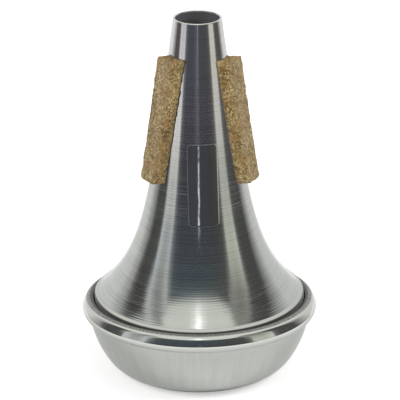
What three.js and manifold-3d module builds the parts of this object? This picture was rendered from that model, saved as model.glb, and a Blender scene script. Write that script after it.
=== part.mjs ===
// Straight mute for a trumpet: a spun metal body that narrows to an open neck, pressed into an end
// bowl with a rolled bead, three cork strips that grip the inside of the bell, and a clear label.
// Millimetres, +Z up along the axis, origin at the centre of the flat face that the mute rests on.
// The label faces -Y.
import * as THREE from "three";
import { mergeVertices } from "three/addons/utils/BufferGeometryUtils.js";
import Module from "manifold-3d";

const wasm = await Module();
wasm.setup();

// Sheet metal and clearances
const bodyWall = 1.0;
const bowlWall = 0.9;
const bendInside = 0.2; // inner radius of the tightest bend in the body sheet
const fitGap = 0.3; // clearance between pieces that touch
const cutOverrun = 2.0; // how far a cutting shape runs past what it cuts

// Body: neck, flare, ledge and the skirt inside the bowl
const neckRadius = 10.45; // outside, at the rim
const rimHeight = 161.8; // rest face to the rim of the neck
const neckTaperShare = 0.132; // radius gained for each unit of length along the neck
const flareReach = 18.5; // length over which the flare's swell falls to 37 percent
const shoulderRise = 2.2; // top of the bowl's lip up to the ledge's outer edge
const ledgeWidth = 1.45; // ring at the foot of the flare that lies flatter than the flare
const ledgeFall = 0.85;
const skirtRadius = 46.7; // outside
const skirtDepth = 9.0; // below the shoulder

// Bowl: lip, bead, side and flat bottom
const lipHeight = 32.9; // rest face to the top of the folded lip
const beadDrop = 3.7; // middle of the lip's fold down to the middle of the bead
const beadOutset = 1.2; // and outwards
const beadRoll = 3.05; // outer radius of the bead's round section
const beadEndGap = 0.63; // from the side of the bowl to the rolled edge, under the bead
const sideRoll = 41.6; // radius of the bowl's side, seen in section
const cornerRoll = 15.6; // radius where the side turns into the bottom
const sideTurnDegrees = 34.4; // slope from vertical where the side meets the corner

// Cork strips and the cement under them
const corkBelowRim = 16.5; // rim of the neck down to the strip's upper end
const corkLength = 55.0; // along the axis
const corkWidth = 9.5;
const corkThickness = 6.8; // metal to the strip's outer face
const corkEdgeRound = 0.5; // worn long edges
const corkEndRound = 1.2; // worn outer corners at the two ends
const cementFilm = 0.25;
const cementSpread = 0.5; // cement squeezed out past the strip's edge, each side

// Where the three strips were glued by hand: degrees round from the label, degrees askew, and
// how far up the neck each one sits from its place, as a share of its length
const corkPlaces = [
  { side: "right", aroundDegrees: 56.7, askewDegrees: 1.9, raisedShare: 0 },
  { side: "left", aroundDegrees: -59.4, askewDegrees: -2.8, raisedShare: 0.018 },
  { side: "rear", aroundDegrees: 180, askewDegrees: 0, raisedShare: 0 },
];

// Label: clear film wrapped on the flare
const labelBelowRim = 51.8; // rim of the neck down to the label's upper edge
const labelLength = 35.2;
const labelWidth = 13.4; // across, seen from the front
const labelCorner = 1.6;
const labelFilm = 0.25;

// Counts of facets
const turnedFacets = 60;
const flareSteps = 20;
const flareCrowdShare = 1.6; // over 1 crowds the steps towards the foot of the flare
const sideSteps = 5;
const cornerSteps = 7;
const beadSteps = 8;
const lipSteps = 4;
const bendSteps = 3;
const corkSteps = 8;

const radians = (degrees) => THREE.MathUtils.degToRad(degrees);
const point = (radius, height) => new THREE.Vector2(radius, height);

// Finish of each kind of piece
const spunMetal = { color: 0xb9bdb8, roughness: 0.22, metalness: 1 };
const polishedMetal = { color: 0xc3c6c2, roughness: 0.16, metalness: 1 };
const cork = { color: 0x9a7d52, roughness: 0.9, metalness: 0 };
const driedCement = { color: 0x3a3428, roughness: 0.6, metalness: 0 };
const clearFilm = {
  color: 0xd8dcdc,
  roughness: 0.2,
  metalness: 0,
  transparent: true,
  opacity: 0.4,
};

// Sizes worked out from the driving ones
const shoulderHeight = lipHeight + shoulderRise;
const footRoll = bodyWall + bendInside;
const ledgeOuter = skirtRadius - footRoll * (1 - Math.sin(ledgeSlope()));
const footRadius = ledgeOuter - ledgeWidth;
const footHeight = shoulderHeight + ledgeFall;
const flareHeight = rimHeight - footHeight;
const mouthRadius = skirtRadius + fitGap; // bowl's inside radius at its lip
const lipRoll = bowlWall; // the lip is folded flat on itself
const lipCentre = point(mouthRadius + lipRoll, lipHeight - lipRoll);
const beadCentre = point(lipCentre.x + beadOutset, lipCentre.y - beadDrop);
const corkTop = rimHeight - corkBelowRim;
const labelTop = rimHeight - labelBelowRim;

function ledgeSlope() {
  return Math.atan2(ledgeFall, ledgeWidth);
}

// Outside radius of the body at a height above the foot of the flare
function flareRadius(above) {
  const fade = (length) => Math.exp(-length / flareReach);
  const swell = footRadius - neckRadius - neckTaperShare * flareHeight;
  const fadedShare = (fade(above) - fade(flareHeight)) / (1 - fade(flareHeight));
  return neckRadius + neckTaperShare * (flareHeight - above) + swell * fadedShare;
}

// Points along the outside of the body, from one height to another
function flareLine(fromHeight, toHeight, steps) {
  const line = [];
  for (let i = 0; i <= steps; i++) {
    const height = THREE.MathUtils.lerp(fromHeight, toHeight, (i / steps) ** flareCrowdShare);
    line.push(point(flareRadius(height - footHeight), height));
  }
  return line;
}

// Points on a round stretch, from one angle to another, in a section through the axis
function arc(centre, radius, fromAngle, toAngle, steps) {
  const line = [];
  for (let i = 0; i <= steps; i++) {
    const angle = THREE.MathUtils.lerp(fromAngle, toAngle, i / steps);
    line.push(point(centre.x + radius * Math.cos(angle), centre.y + radius * Math.sin(angle)));
  }
  return line;
}

// A line that climbs, moved square to itself: outwards by a positive distance
function moved(line, outwards) {
  return line.map((here, i) => {
    const before = line[Math.max(i - 1, 0)];
    const after = line[Math.min(i + 1, line.length - 1)];
    const along = after.clone().sub(before).normalize();
    return point(here.x + outwards * along.y, here.y - outwards * along.x);
  });
}

// Solid of revolution about +Z from a closed section
function turned(section) {
  const shape = new THREE.LatheGeometry(section, turnedFacets);
  shape.rotateX(Math.PI / 2);
  return shape;
}

function toSolid(geometry) {
  const bare = geometry.index ? geometry.toNonIndexed() : geometry.clone();
  bare.deleteAttribute("normal");
  bare.deleteAttribute("uv");
  const merged = mergeVertices(bare);
  return new wasm.Manifold(
    new wasm.Mesh({
      numProp: 3,
      vertProperties: merged.attributes.position.array,
      triVerts: new Uint32Array(merged.index.array),
    }),
  );
}

function toGeometry(solid) {
  const mesh = solid.getMesh();
  const geometry = new THREE.BufferGeometry();
  geometry.setAttribute("position", new THREE.BufferAttribute(mesh.vertProperties, 3));
  geometry.setIndex(new THREE.BufferAttribute(mesh.triVerts, 1));
  const flat = geometry.toNonIndexed();
  flat.computeVertexNormals();
  return flat;
}

function piece(name, geometry, finish) {
  const mesh = new THREE.Mesh(geometry, new THREE.MeshStandardMaterial(finish));
  mesh.name = name;
  return mesh;
}

// Body shell: one sheet from the rim of the neck to the end of the skirt
function bodyShell() {
  const bendCentre = point(
    skirtRadius - footRoll,
    shoulderHeight - footRoll * Math.cos(ledgeSlope()),
  );
  const skirtEnd = shoulderHeight - skirtDepth;
  const bend = arc(bendCentre, footRoll, 0, Math.PI / 2 - ledgeSlope(), bendSteps);
  const flare = flareLine(footHeight, rimHeight - bodyWall / 2, flareSteps);
  const outside = [point(skirtRadius, skirtEnd), ...bend, ...flare];
  const inside = moved(flare, -bodyWall).reverse();
  const innerBend = arc(bendCentre, bendInside, Math.PI / 2 - ledgeSlope(), 0, bendSteps);
  const rimTop = point(neckRadius - bodyWall / 2, rimHeight);
  const section = [
    ...outside,
    rimTop,
    ...inside,
    ...innerBend,
    point(skirtRadius - bodyWall, skirtEnd),
    point(skirtRadius, skirtEnd),
  ];
  return turned(section);
}

// Angle at which one straight line touches both the lip's fold and the bead's round section
function beadTouchAngle() {
  const apart = lipCentre.clone().sub(beadCentre);
  return Math.atan2(apart.y, apart.x) - Math.acos((beadRoll - lipRoll) / apart.length());
}

// End bowl: flat bottom, rounded corner, side, folded lip and rolled bead, all one sheet
function endBowl() {
  const turn = radians(sideTurnDegrees);
  const touch = beadTouchAngle();
  const beadEnd = -Math.acos(beadEndGap / beadRoll);

  // The side starts level with the underside of the bead, at the radius of the bead's centre
  const sideTop = beadCentre.y - beadRoll;
  const cornerHeight = cornerRoll * (1 - Math.sin(turn));
  const startSlope = Math.asin(Math.sin(turn) - (sideTop - cornerHeight) / sideRoll);
  const sideCentre = point(
    beadCentre.x - sideRoll * Math.cos(startSlope),
    sideTop + sideRoll * Math.sin(startSlope),
  );
  const cornerCentre = point(
    sideCentre.x + (sideRoll - cornerRoll) * Math.cos(turn),
    cornerRoll,
  );
  const corner = (radius) => arc(cornerCentre, radius, -Math.PI / 2, -turn, cornerSteps);
  const side = (radius) => arc(sideCentre, radius, -turn, -startSlope, sideSteps).slice(1);

  // Inside of the rolled edge: up the wall to the fold, then round the inside of the bead
  const foldInside = point(mouthRadius + bowlWall, lipHeight - lipRoll);
  const rolled = arc(beadCentre, beadRoll - bowlWall, touch, beadEnd, beadSteps);
  const outsideOfBead = arc(beadCentre, beadRoll, beadEnd, touch, beadSteps);
  const outsideOfLip = arc(lipCentre, lipRoll, touch, Math.PI, lipSteps);

  const section = [
    point(0, 0),
    ...corner(cornerRoll),
    ...side(sideRoll),
    foldInside,
    ...rolled,
    ...outsideOfBead,
    ...outsideOfLip,
    ...side(sideRoll - bowlWall).reverse(),
    ...corner(cornerRoll - bowlWall).reverse(),
    point(0, bowlWall),
  ];
  return turned(section);
}

// Everything within a distance of the outside of the body, to cut the strips and the label to it
function grownBody(growth) {
  const low = footHeight + cutOverrun;
  const line = moved(flareLine(low, rimHeight, flareSteps), growth);
  return toSolid(turned([point(0, low), ...line, point(0, rimHeight)]));
}

// A straight-sided strip that lies on the body towards +X, before its back is cut to the body
function stripBlank(middle, width, length, edgeRound, endRound) {
  const low = middle - length / 2;
  const high = middle + length / 2;
  const onMetal = flareLine(low, high, corkSteps);
  const outer = moved(onMetal, corkThickness);
  const inner = moved(onMetal, -cutOverrun).reverse();
  const first = outer[0];
  const last = outer[outer.length - 1];
  const outline = new THREE.Shape();
  outline.moveTo(first.x - endRound, first.y);
  outline.quadraticCurveTo(first.x, first.y, first.x, first.y + endRound);
  outer.slice(1, -1).forEach((p) => outline.lineTo(p.x, p.y));
  outline.lineTo(last.x, last.y - endRound);
  outline.quadraticCurveTo(last.x, last.y, last.x - endRound, last.y);
  inner.forEach((p) => outline.lineTo(p.x, p.y));
  outline.closePath();
  const blank = new THREE.ExtrudeGeometry(outline, {
    depth: width - 2 * edgeRound,
    bevelEnabled: edgeRound > 0,
    bevelThickness: edgeRound,
    bevelSize: edgeRound,
    bevelOffset: -edgeRound,
    bevelSegments: 2,
    curveSegments: 2,
  });
  blank.translate(0, 0, edgeRound - width / 2);
  blank.rotateX(Math.PI / 2);
  return blank;
}

// Turns a blank a little about the line that runs outwards through its middle
function askew(blank, middle, degrees) {
  blank.translate(0, 0, -middle);
  blank.rotateX(radians(degrees));
  blank.translate(0, 0, middle);
  return toSolid(blank);
}

function corkStrip(middle, degrees) {
  const blank = stripBlank(middle, corkWidth, corkLength, corkEdgeRound, corkEndRound);
  const seat = grownBody(2 * fitGap + cementFilm);
  return toGeometry(askew(blank, middle, degrees).subtract(seat));
}

function cementLayer(middle, degrees) {
  const width = corkWidth + 2 * cementSpread;
  const length = corkLength + 2 * cementSpread;
  const blank = stripBlank(middle, width, length, 0, cementSpread);
  const film = grownBody(fitGap + cementFilm).subtract(grownBody(fitGap));
  return toGeometry(askew(blank, middle, degrees).intersect(film));
}

// Clear film, cut from the layer just off the metal by a rounded rectangle seen from the front
function labelSheet() {
  const half = labelWidth / 2;
  const low = labelTop - labelLength;
  const outline = new THREE.Shape();
  outline.moveTo(-half + labelCorner, low);
  outline.lineTo(half - labelCorner, low);
  outline.quadraticCurveTo(half, low, half, low + labelCorner);
  outline.lineTo(half, labelTop - labelCorner);
  outline.quadraticCurveTo(half, labelTop, half - labelCorner, labelTop);
  outline.lineTo(-half + labelCorner, labelTop);
  outline.quadraticCurveTo(-half, labelTop, -half, labelTop - labelCorner);
  outline.lineTo(-half, low + labelCorner);
  outline.quadraticCurveTo(-half, low, -half + labelCorner, low);
  const punch = new THREE.ExtrudeGeometry(outline, {
    depth: skirtRadius,
    bevelEnabled: false,
    curveSegments: 3,
  });
  punch.rotateX(Math.PI / 2);
  const film = grownBody(fitGap + labelFilm).subtract(grownBody(fitGap));
  return toGeometry(toSolid(punch).intersect(film));
}

const mute = new THREE.Group();
mute.add(piece("body_shell", bodyShell(), spunMetal));
mute.add(piece("end_bowl", endBowl(), polishedMetal));
for (const { side, aroundDegrees, askewDegrees, raisedShare } of corkPlaces) {
  const middle = corkTop - corkLength * (1 / 2 - raisedShare);
  const place = new THREE.Group();
  place.rotation.z = radians(aroundDegrees - 90);
  place.add(piece(`cork_strip_${side}`, corkStrip(middle, askewDegrees), cork));
  place.add(piece(`cork_cement_${side}`, cementLayer(middle, askewDegrees), driedCement));
  mute.add(place);
}
mute.add(piece("clear_label", labelSheet(), clearFilm));

export default mute;
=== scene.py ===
import math

import bmesh
import bpy
import numpy as np
from mathutils import Matrix, Vector, noise


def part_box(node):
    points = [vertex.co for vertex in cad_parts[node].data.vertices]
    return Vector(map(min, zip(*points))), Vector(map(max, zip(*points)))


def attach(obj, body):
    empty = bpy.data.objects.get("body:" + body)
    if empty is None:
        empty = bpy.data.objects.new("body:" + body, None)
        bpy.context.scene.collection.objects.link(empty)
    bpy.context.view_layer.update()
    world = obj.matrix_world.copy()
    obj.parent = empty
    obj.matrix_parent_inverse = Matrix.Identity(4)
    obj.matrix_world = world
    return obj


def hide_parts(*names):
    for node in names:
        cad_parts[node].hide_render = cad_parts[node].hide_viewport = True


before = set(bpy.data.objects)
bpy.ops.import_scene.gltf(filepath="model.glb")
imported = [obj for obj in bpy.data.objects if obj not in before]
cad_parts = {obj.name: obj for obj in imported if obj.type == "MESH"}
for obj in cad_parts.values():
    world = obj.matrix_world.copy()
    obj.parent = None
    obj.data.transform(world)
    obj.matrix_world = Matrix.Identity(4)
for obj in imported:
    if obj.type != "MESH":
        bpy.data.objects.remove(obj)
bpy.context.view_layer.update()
mm = 0.001
print("frame loaded:", ", ".join(sorted(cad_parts)))


# helpers for numbers and meshes
def clamp(value, low=0, high=1):
    return min(max(value, low), high)


def linkObject(name, data):
    thing = bpy.data.objects.new(name, data)
    bpy.context.collection.objects.link(thing)
    return thing


def makeSkin(name, verts, faces, marks):
    # a smooth skin with its normals outwards; marks are values kept on its points
    mesh = bpy.data.meshes.new(name)
    mesh.from_pydata(verts, [], faces)
    mesh.polygons.foreach_set("use_smooth", [True] * len(faces))
    for label, values in marks.items():
        mesh.attributes.new(label, "FLOAT", "POINT").data.foreach_set("value", values)
    form = bmesh.new()
    form.from_mesh(mesh)
    bmesh.ops.recalc_face_normals(form, faces=form.faces)
    form.to_mesh(mesh)
    form.free()
    return linkObject(name, mesh)


# camera: a long lens, a little above the mute, turned a little to the left of the label
cameraPlace = {
    "azimuth": -5.9,          # degrees round from the label's side
    "distance": 996.5 * mm,   # from the axis, level
    "height": 472.3 * mm,
    "pitch": 21.6,            # degrees down
    "pan": 0.035,             # degrees to the right of the axis
    "roll": -0.38,
    "lens": 219.43,
    "sensor": 36,
    "clip": (0.05, 50),
}


def makeCamera(place):
    data = bpy.data.cameras.new("camera")
    data.lens = place["lens"]
    data.sensor_width = place["sensor"]
    data.clip_start, data.clip_end = place["clip"]
    camera = linkObject("camera", data)
    around, distance = math.radians(place["azimuth"]), place["distance"]
    camera.location = (math.sin(around) * distance, -math.cos(around) * distance, place["height"])
    heading = Matrix.Rotation(around - math.radians(place["pan"]), 4, "Z")
    tilt = Matrix.Rotation(math.radians(90 - place["pitch"]), 4, "X")
    roll = Matrix.Rotation(math.radians(place["roll"]), 4, "Z")
    camera.rotation_euler = (heading @ tilt @ roll).to_euler()
    bpy.context.scene.camera = camera


makeCamera(cameraPlace)
print("camera placed")


# helpers for nodes
def feed(tree, socket, value):
    # a socket takes a link or a plain value; a colour is red, green and blue
    if isinstance(value, bpy.types.NodeSocket):
        tree.links.new(value, socket)
    elif socket.type == "RGBA":
        socket.default_value = (*value, 1)
    else:
        socket.default_value = value


def newNode(tree, kind, values=(), **settings):
    # values feed its sockets in their order, or by name from a dictionary
    node = tree.nodes.new(kind)
    for key, setting in settings.items():
        setattr(node, key, setting)
    for key, value in values.items() if isinstance(values, dict) else enumerate(values):
        feed(tree, node.inputs[key], value)
    return node


def mathNode(tree, operation, *values):
    return newNode(tree, "ShaderNodeMath", values, operation=operation).outputs[0]


def times(tree, first, second):
    return mathNode(tree, "MULTIPLY", first, second)


def timesPlus(tree, value, factor, extra):
    return mathNode(tree, "MULTIPLY_ADD", value, factor, extra)


def minus(tree, first, second):
    return mathNode(tree, "SUBTRACT", first, second)


def gainBy(tree, mask, gain, start=1.0):
    # the start value, and gain times as much of it where the mask is 1
    return timesPlus(tree, mask, gain - 1, start)


def vectorNode(tree, operation, *values):
    return newNode(tree, "ShaderNodeVectorMath", values, operation=operation).outputs[0]


def joined(tree, *values):
    return newNode(tree, "ShaderNodeCombineXYZ", values).outputs[0]


def split(tree, vector):
    return newNode(tree, "ShaderNodeSeparateXYZ", (vector,)).outputs


def onPiece(tree):
    return newNode(tree, "ShaderNodeTexCoord").outputs["Object"]


def mark(tree, name):
    return newNode(tree, "ShaderNodeAttribute", attribute_name=name).outputs["Fac"]


def noiseTexture(tree, place, scale, detail=2):
    return newNode(tree, "ShaderNodeTexNoise", {"Vector": place, "Scale": scale, "Detail": detail}).outputs


def ramp(tree, factor, stops):
    node = newNode(tree, "ShaderNodeValToRGB", (factor,))
    while len(node.color_ramp.elements) < len(stops):
        node.color_ramp.elements.new(0.5)
    for element, (position, color) in zip(node.color_ramp.elements, stops):
        element.position = position
        element.color = (*np.broadcast_to(color, 3), 1)   # a grey level, or red, green and blue
    return node.outputs[0]


def rise(tree, value, start, end, smooth=False):
    # 0 up to start, 1 from end on
    limits = {"Value": value, "From Min": start, "From Max": end}
    kind = "SMOOTHSTEP" if smooth else "LINEAR"
    return newNode(tree, "ShaderNodeMapRange", limits, interpolation_type=kind).outputs[0]


def band(tree, value, limits, fades):
    # 1 between the limits, fading out below and above them
    low, high = limits
    below, above = fades
    return times(tree, rise(tree, value, low - below, low, True), rise(tree, value, high + above, high, True))


def mixColor(tree, factor, first, second, mode="MIX"):
    colors = {0: factor, 6: first, 7: second}
    return newNode(tree, "ShaderNodeMix", colors, data_type="RGBA", blend_type=mode).outputs[2]


def addShaders(tree, first, second):
    return newNode(tree, "ShaderNodeAddShader", (first.outputs[0], second.outputs[0]))


def setOutput(tree, shader, kind="ShaderNodeOutputMaterial"):
    newNode(tree, kind, (shader.outputs[0],))


def newMaterial(name):
    material = bpy.data.materials.new(name)
    material.use_nodes = True
    material.node_tree.nodes.clear()
    return material, material.node_tree


def newGroup(name, inputs, outputs):
    # inputs are names with their first values, outputs are names; all are numbers
    tree = bpy.data.node_groups.new(name, "ShaderNodeTree")
    for label, value in inputs.items():
        socket = tree.interface.new_socket(label, in_out="INPUT", socket_type="NodeSocketFloat")
        socket.default_value = value
    for label in outputs:
        tree.interface.new_socket(label, in_out="OUTPUT", socket_type="NodeSocketFloat")
    source = newNode(tree, "NodeGroupInput")
    sink = newNode(tree, "NodeGroupOutput")
    return tree, source.outputs, sink.inputs


def placeGroup(tree, group, values):
    return newNode(tree, "ShaderNodeGroup", values, node_tree=group).outputs


# studio: white room, pale floor, and a ring of cloths and screens that only shows in the metal
studio = {
    "roomLight": 0.82,
    "floorRadius": 8.0,
    "floorSides": 96,
    "floorColor": (0.8, 0.8, 0.796),
    "floorLift": 0.42,         # what the camera sees on top of the lit floor
    "floorShine": 0.0,         # and what the metal sees on top of it
    "ringSides": 180,
    # radius and height of the ring: outwards along the floor, then up
    "ringProfile": ((0.24, 0.002), (0.85, 0.003), (0.85, 2.7)),
    "muteMiddle": 0.05,        # degrees up are counted from this height
    "halfWayFrom": (-1, 3),    # degrees up over which a colour takes over from the one below it
    "highFrom": (10, 34),
    "overheadFrom": (-4, 7),   # counted from the cloths' upper edge
    "overhead": (0.80, 0.81, 0.77),
    # the ring's colour by degrees round from the lens, right is positive: near the table, a little
    # higher, and where the foot of the flare looks
    "nearTable": (
        (-180, 0.78), (-130, 0.77), (-124, 0.71), (-119, 0.56), (-113, 0.42), (-108, 0.34), (-102, 0.15),
        (-97, 0.08), (-80, 0.08), (-77.5, 0.12), (-75, (0.66, 0.65, 0.64)), (-69, (0.74, 0.73, 0.72)),
        (-60, (0.70, 0.69, 0.68)), (-53, (0.76, 0.75, 0.74)), (-51, 0.17), (-46, (0.080, 0.075, 0.088)),
        (-38, (0.055, 0.050, 0.065)), (30, (0.053, 0.049, 0.061)), (42, 0.075), (49.5, 0.13), (52, 0.30),
        (54, (0.57, 0.56, 0.55)), (66, (0.54, 0.53, 0.51)), (72.5, (0.52, 0.51, 0.49)), (75, 0.14),
        (82, 0.10), (103, 0.08), (112, 0.34), (125, 0.70), (180, 0.78),
    ),
    "halfWay": (
        (-180, 0.78), (-126, 0.74), (-118, 0.57), (-111, 0.45), (-104, 0.14), (-98, 0.085), (-84, 0.10),
        (-78, 0.13), (-76.3, (0.62, 0.65, 0.70)), (-72, (0.58, 0.61, 0.64)), (-67, (0.44, 0.46, 0.465)),
        (-60, (0.45, 0.47, 0.48)), (-53.5, (0.61, 0.64, 0.67)), (-51, (0.29, 0.32, 0.35)),
        (-47.5, (0.15, 0.17, 0.19)), (-42, (0.083, 0.096, 0.115)), (-34, (0.071, 0.077, 0.094)),
        (2, (0.069, 0.078, 0.095)), (30, (0.068, 0.072, 0.080)), (44, (0.084, 0.087, 0.087)),
        (50, (0.18, 0.18, 0.17)), (52.3, (0.63, 0.64, 0.57)), (64, (0.56, 0.58, 0.50)),
        (73.3, (0.69, 0.70, 0.64)), (75.4, 0.17), (82, 0.09), (101, 0.085), (110, 0.33), (124, 0.70),
        (180, 0.78),
    ),
    "high": (
        (-180, 0.80), (-126, 0.74), (-112, 0.42), (-104, 0.11), (-98, 0.065), (-87, 0.075), (-83, 0.17),
        (-80.5, (0.50, 0.51, 0.53)), (-77, (0.64, 0.65, 0.67)), (-72, 0.42), (-67, 0.30), (-61, 0.31),
        (-55, 0.52), (-51.5, (0.59, 0.61, 0.59)), (-48, (0.27, 0.30, 0.28)), (-43, (0.11, 0.13, 0.14)),
        (-34, (0.085, 0.105, 0.125)), (2, (0.075, 0.095, 0.115)), (30, (0.090, 0.100, 0.098)), (44, 0.10),
        (49, 0.28), (54, (0.31, 0.31, 0.29)), (64, (0.24, 0.24, 0.22)), (73.5, (0.34, 0.34, 0.31)),
        (76, 0.26), (79.5, 0.10), (100, 0.065), (110, 0.36), (124, 0.72), (180, 0.80),
    ),
    # degrees up at which the cloths end
    "topEdge": (
        (-130, 30), (-108, 42), (-90, 43), (-80, 50), (-66, 60), (-52, 47), (-46, 42), (30, 42), (46, 46),
        (60, 58), (72, 62), (86, 56), (108, 50), (130, 30),
    ),
}


def anyRay(tree, *kinds):
    # 1 for rays of any of these kinds
    path = newNode(tree, "ShaderNodeLightPath")
    seen = path.outputs[kinds[0]]
    for kind in kinds[1:]:
        seen = mathNode(tree, "MAXIMUM", seen, path.outputs[kind])
    return seen


def makeWorld(values):
    world = bpy.data.worlds.new("room")
    bpy.context.scene.world = world
    world.use_nodes = True
    tree = world.node_tree
    tree.nodes.clear()
    seen, lit = anyRay(tree, "Is Camera Ray", "Is Glossy Ray", "Is Transmission Ray"), values["roomLight"]
    background = newNode(tree, "ShaderNodeBackground", {"Strength": timesPlus(tree, seen, 1 - lit, lit)})
    setOutput(tree, background, "ShaderNodeOutputWorld")


def makeFloor(values):
    mesh = bpy.data.meshes.new("floor")
    form = bmesh.new()
    bmesh.ops.create_circle(form, cap_ends=True, segments=values["floorSides"], radius=values["floorRadius"])
    form.to_mesh(mesh)
    form.free()
    material, tree = newMaterial("paleFloor")
    paper = newNode(tree, "ShaderNodeBsdfDiffuse", {"Color": values["floorColor"]})
    shine = times(tree, anyRay(tree, "Is Glossy Ray", "Is Transmission Ray"), values["floorShine"])
    strength = timesPlus(tree, anyRay(tree, "Is Camera Ray"), values["floorLift"], shine)
    lift = newNode(tree, "ShaderNodeEmission", {"Color": (1, 1, 1), "Strength": strength})
    setOutput(tree, addShaders(tree, paper, lift))
    mesh.materials.append(material)
    linkObject("floor", mesh)


def stageMirrored(name, mesh, material, azimuth):
    # what stands round the mute and only shows in the metal and the film
    thing = linkObject(name, mesh)
    thing.rotation_euler.z = math.radians(azimuth)
    thing.visible_camera = thing.visible_diffuse = thing.visible_shadow = False
    material.cycles.emission_sampling = "NONE"
    mesh.materials.append(material)


def makeRing(values, azimuth):
    profile, count = values["ringProfile"], values["ringSides"]
    angles = [2 * math.pi * k / count for k in range(count)]
    verts = [(radius * math.cos(angle), radius * math.sin(angle), height)
             for radius, height in profile for angle in angles]
    faces = []
    for low in range(0, count * (len(profile) - 1), count):
        for k in range(count):
            after = (k + 1) % count
            faces.append((low + k, low + after, low + count + after, low + count + k))
    mesh = bpy.data.meshes.new("clothRing")
    mesh.from_pydata(verts, [], faces)
    material, tree = newMaterial("clothRing")
    x, y, z = split(tree, onPiece(tree))
    around = mathNode(tree, "ARCTAN2", x, times(tree, y, -1.0))
    share = timesPlus(tree, around, 0.5 / math.pi, 0.5)
    raised = minus(tree, z, values["muteMiddle"])
    climb = mathNode(tree, "DEGREES", mathNode(tree, "ARCTAN2", raised, profile[-1][0]))

    def roundRamp(label, scale=1.0):
        stops = [((turn + 180) / 360, np.multiply(color, scale)) for turn, color in values[label]]
        return ramp(tree, share, stops)

    cloth = roundRamp("nearTable")
    cloth = mixColor(tree, rise(tree, climb, *values["halfWayFrom"]), cloth, roundRamp("halfWay"))
    cloth = mixColor(tree, rise(tree, climb, *values["highFrom"]), cloth, roundRamp("high"))
    edge = times(tree, roundRamp("topEdge", 0.01), 100.0)
    above = rise(tree, minus(tree, climb, edge), *values["overheadFrom"], True)
    cloth = mixColor(tree, above, cloth, values["overhead"])
    setOutput(tree, newNode(tree, "ShaderNodeEmission", {"Color": cloth}))
    stageMirrored("clothRing", mesh, material, azimuth)


stripLamps = {
    "slantGlow": {          # dim and wide, as the neck shows it
        "azimuth": 0.5, "radius": 0.785, "width": 0.24, "lean": -0.125, "low": 0.054, "high": 0.124,
        "footFade": 0.010, "headFade": 0.012, "core": 0.1, "coreFade": 0.2, "halo": 0.6,
        "strength": 0.12, "color": (0.80, 0.80, 1.0),
    },
    "slotLamp": {           # narrow and bright, as the label shows it
        "azimuth": 0.6, "radius": 0.780, "width": 0.070, "lean": 0.0, "low": 0.136, "high": 0.172,
        "footFade": 0.008, "headFade": 0.012, "core": 0.35, "coreFade": 0.2, "halo": 0.35,
        "strength": 1.4, "color": (0.74, 0.86, 1.0),
    },
    "topLamp": {            # high up, as the foot of the flare shows it
        "azimuth": -1.5, "radius": 0.820, "width": 0.52, "lean": 0.0, "low": 0.80, "high": 2.6,
        "footFade": 0.8, "headFade": 0.2, "core": 0.14, "coreFade": 0.2, "halo": 0.32,
        "strength": 1.15, "color": (0.97, 0.98, 1.0),
    },
}


def makeStripLamp(name, values, azimuth):
    # an upright lamp in front of the cloth: full strength in its middle, fading to both sides
    half, low, high, lean = values["width"] / 2, values["low"], values["high"], values["lean"]
    corners = [(-half, low), (half, low), (half + lean, high), (-half + lean, high)]
    mesh = bpy.data.meshes.new(name)
    mesh.from_pydata([(x, -values["radius"], z) for x, z in corners], [], [(0, 1, 2, 3)])
    material, tree = newMaterial(name)
    across, outwards, height = split(tree, onPiece(tree))
    tilt = lean / (high - low)
    middle = timesPlus(tree, height, tilt, -low * tilt)
    aside = mathNode(tree, "DIVIDE", mathNode(tree, "ABSOLUTE", minus(tree, across, middle)), half)
    foot = rise(tree, height, low, low + values["footFade"])
    head = rise(tree, height, high, high - values["headFade"])
    core = values["core"]
    fade = ramp(tree, aside, [(core, 1.0), (core + values["coreFade"], values["halo"]), (1.0, 0.0)])
    fade = times(tree, fade, times(tree, foot, head))
    light = {"Color": values["color"], "Strength": times(tree, fade, values["strength"])}
    clear = newNode(tree, "ShaderNodeBsdfTransparent")
    setOutput(tree, addShaders(tree, newNode(tree, "ShaderNodeEmission", light), clear))
    stageMirrored(name, mesh, material, azimuth + values["azimuth"])


keyLamps = {
    "size": 0.9,
    "aim": (0, 0, 0.10),
    "lamps": {              # place and power
        "keyLampLeft": ((-1.25, -0.65, 1.1), 13.0),
        "keyLampRight": ((1.30, -0.35, 1.1), 15.0),
    },
}


def makeKeyLamp(name, place, power, values):
    data = bpy.data.lights.new(name, "AREA")
    data.size = values["size"]
    data.energy = power
    lamp = linkObject(name, data)
    lamp.location = place
    lamp.rotation_euler = (Vector(values["aim"]) - Vector(place)).to_track_quat("-Z", "Y").to_euler()
    lamp.visible_glossy = lamp.visible_transmission = False


makeWorld(studio)
makeFloor(studio)
makeRing(studio, cameraPlace["azimuth"])
for lampName, lampValues in stripLamps.items():
    makeStripLamp(lampName, lampValues, cameraPlace["azimuth"])
for lampName, (lampPlace, lampPower) in keyLamps["lamps"].items():
    makeKeyLamp(lampName, lampPlace, lampPower, keyLamps)
bpy.context.scene.view_settings.view_transform = "Standard"
print("studio lit")


# turned sheet metal: both shells are lathed from a section given as (radius, height) points
def arcPoints(centre, radius, fromAngle, toAngle, step):
    count = max(2, math.ceil(abs(toAngle - fromAngle) * radius / step))
    angles = [fromAngle + (toAngle - fromAngle) * i / count for i in range(count + 1)]
    return [(centre[0] + radius * math.cos(a), centre[1] + radius * math.sin(a)) for a in angles]


def offsetLine(line, outwards):
    # a line that climbs, moved square to itself
    moved = []
    for i, (radius, height) in enumerate(line):
        before, after = line[max(i - 1, 0)], line[min(i + 1, len(line) - 1)]
        along = Vector((after[0] - before[0], after[1] - before[1])).normalized()
        moved.append((radius + outwards * along.y, height - outwards * along.x))
    return moved


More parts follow.
